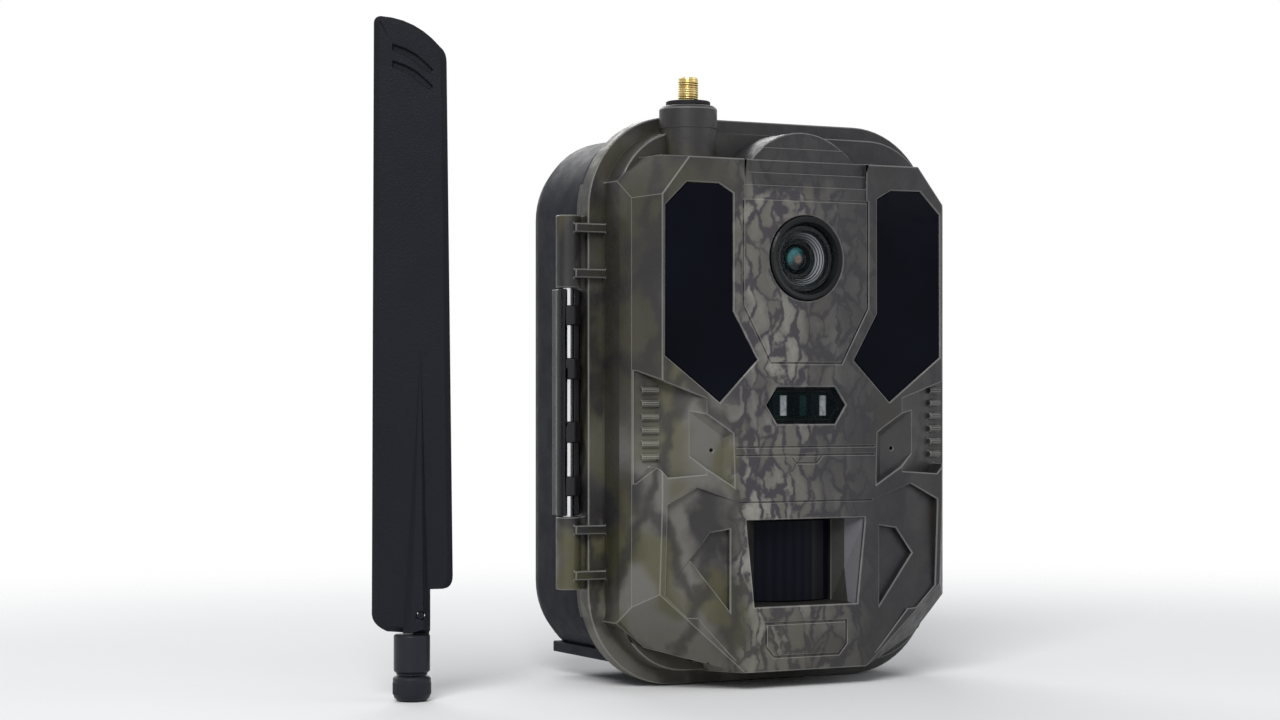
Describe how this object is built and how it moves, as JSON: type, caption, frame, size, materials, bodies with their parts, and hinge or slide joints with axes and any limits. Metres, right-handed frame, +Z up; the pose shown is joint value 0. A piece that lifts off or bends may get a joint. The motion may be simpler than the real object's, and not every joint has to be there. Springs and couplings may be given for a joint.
{
  "type": "trail camera",
  "caption": "Weatherproof trail camera in a hinged two-half camouflage case with infrared windows, a motion sensor and a paddle antenna standing unscrewed beside it.",
  "frame": {"origin": "middle of the cover flange's flat bottom edge, at the parting plane between cover and case, on the surface that the camera stands on", "axes": "+Z up, +X to the right of someone facing the lens, +Y from the lens towards the back of the case"},
  "size_m": [0.1976, 0.0878, 0.201],
  "materials": {
    "camo_plastic": "moulded plastic with a bark camouflage film, satin",
    "charcoal_plastic": "moulded plastic, fine satin texture",
    "black_plastic": "moulded plastic, satin",
    "dark_window": "infrared-passing plastic, polished",
    "clear_glass": "polished",
    "steel": "plated",
    "gold": "gold plated, bright",
    "circuit_board": "solder mask",
    "rubber": "moulded, matte",
    "cream_plastic": "moulded",
    "cell_jacket": "shrunk plastic jacket"
  },
  "bodies": {
    "case": {"rear_case": "charcoal_plastic", "case_seal": "rubber", "hinge_pin": "steel", "tripod_insert": "gold", "power_jack": "black_plastic", "latch_pin": "steel", "battery_tray": "black_plastic", "contact_bottom": "steel", "contact_top": "steel", "aa_cell_1": "cell_jacket", "aa_cell_2": "cell_jacket", "aa_cell_3": "cell_jacket", "aa_cell_4": "cell_jacket", "aa_cell_5": "cell_jacket", "aa_cell_6": "cell_jacket", "aa_cell_7": "cell_jacket", "aa_cell_8": "cell_jacket"},
    "cover": {"antenna_socket": "gold", "card_slot": "steel", "display": "dark_window", "front_cover": "camo_plastic", "inner_panel": "black_plastic", "ir_board_left": "circuit_board", "ir_board_right": "circuit_board", "ir_window_left": "dark_window", "ir_window_right": "dark_window", "lens_barrel": "black_plastic", "lens_element": "clear_glass", "lens_glass": "clear_glass", "lens_ring": "black_plastic", "light_sensor": "dark_window", "main_board": "circuit_board", "microphone": "black_plastic", "motion_lens": "dark_window", "motion_sensor": "steel", "panel_screw_1": "steel", "panel_screw_2": "steel", "panel_screw_3": "steel", "panel_screw_4": "steel", "sensor_board": "circuit_board", "sensor_window": "dark_window", "socket_washer": "rubber", "status_light_left": "clear_glass", "status_light_right": "clear_glass"},
    "latch": {"latch_lever": "black_plastic"},
    "cap": {"jack_cap": "rubber"},
    "key_up": {"button_up": "rubber"},
    "key_down": {"button_down": "rubber"},
    "key_left": {"button_left": "rubber"},
    "key_right": {"button_right": "rubber"},
    "key_ok": {"button_ok": "rubber"},
    "switch_knob": {"power_switch": "cream_plastic"},
    "memory_card": {"sd_card": "black_plastic"},
    "nut": {"antenna_nut": "black_plastic"},
    "sleeve": {"antenna_sleeve": "black_plastic", "antenna_contact": "gold"},
    "blade": {"antenna_front_shell": "black_plastic", "antenna_back_shell": "black_plastic", "antenna_element": "circuit_board", "antenna_pin": "steel"}
  },
  "joints": [
    {"name": "door_hinge", "type": "hinge", "parent": "case", "child": "cover", "pos_m": [-0.068, -0.003, 0.0875], "axis": [0, 0, -1], "range_deg": [0, 110]},
    {"name": "latch_turn", "type": "hinge", "parent": "case", "child": "latch", "pos_m": [0.0622, 0.0095, 0.088], "axis": [0, 0, 1], "range_deg": [0, 80]},
    {"name": "jack_cap_flap", "type": "hinge", "parent": "case", "child": "cap", "pos_m": [0.0593, 0.02, 0.0425], "axis": [0, -1, 0], "range_deg": [0, 100]},
    {"name": "button_up_press", "type": "slide", "parent": "cover", "child": "key_up", "axis": [0, -1, 0], "range_m": [0, 0.0008], "stiffness_N_per_m": 900},
    {"name": "button_down_press", "type": "slide", "parent": "cover", "child": "key_down", "axis": [0, -1, 0], "range_m": [0, 0.0008], "stiffness_N_per_m": 900},
    {"name": "button_left_press", "type": "slide", "parent": "cover", "child": "key_left", "axis": [0, -1, 0], "range_m": [0, 0.0008], "stiffness_N_per_m": 900},
    {"name": "button_right_press", "type": "slide", "parent": "cover", "child": "key_right", "axis": [0, -1, 0], "range_m": [0, 0.0008], "stiffness_N_per_m": 900},
    {"name": "button_ok_press", "type": "slide", "parent": "cover", "child": "key_ok", "axis": [0, -1, 0], "range_m": [0, 0.0008], "stiffness_N_per_m": 900},
    {"name": "power_switch_slide", "type": "slide", "parent": "cover", "child": "switch_knob", "axis": [1, 0, 0], "range_m": [-0.003, 0.003]},
    {"name": "sd_card_slide", "type": "slide", "parent": "cover", "child": "memory_card", "axis": [-1, 0, 0], "range_m": [0, 0.03]},
    {"name": "antenna_lift", "type": "slide", "parent": "case", "child": "nut", "axis": [0, 0, 1], "range_m": [0, 0.22]},
    {"name": "antenna_swivel", "type": "hinge", "parent": "nut", "child": "sleeve", "pos_m": [-0.1208, -0.0058, 0.0135], "axis": [0, 0, 1], "continuous": true},
    {"name": "antenna_tilt", "type": "hinge", "parent": "sleeve", "child": "blade", "pos_m": [-0.11834, -0.00692, 0.0252], "axis": [0.4147, 0.91, 0], "range_deg": [0, 90]}
  ]
}
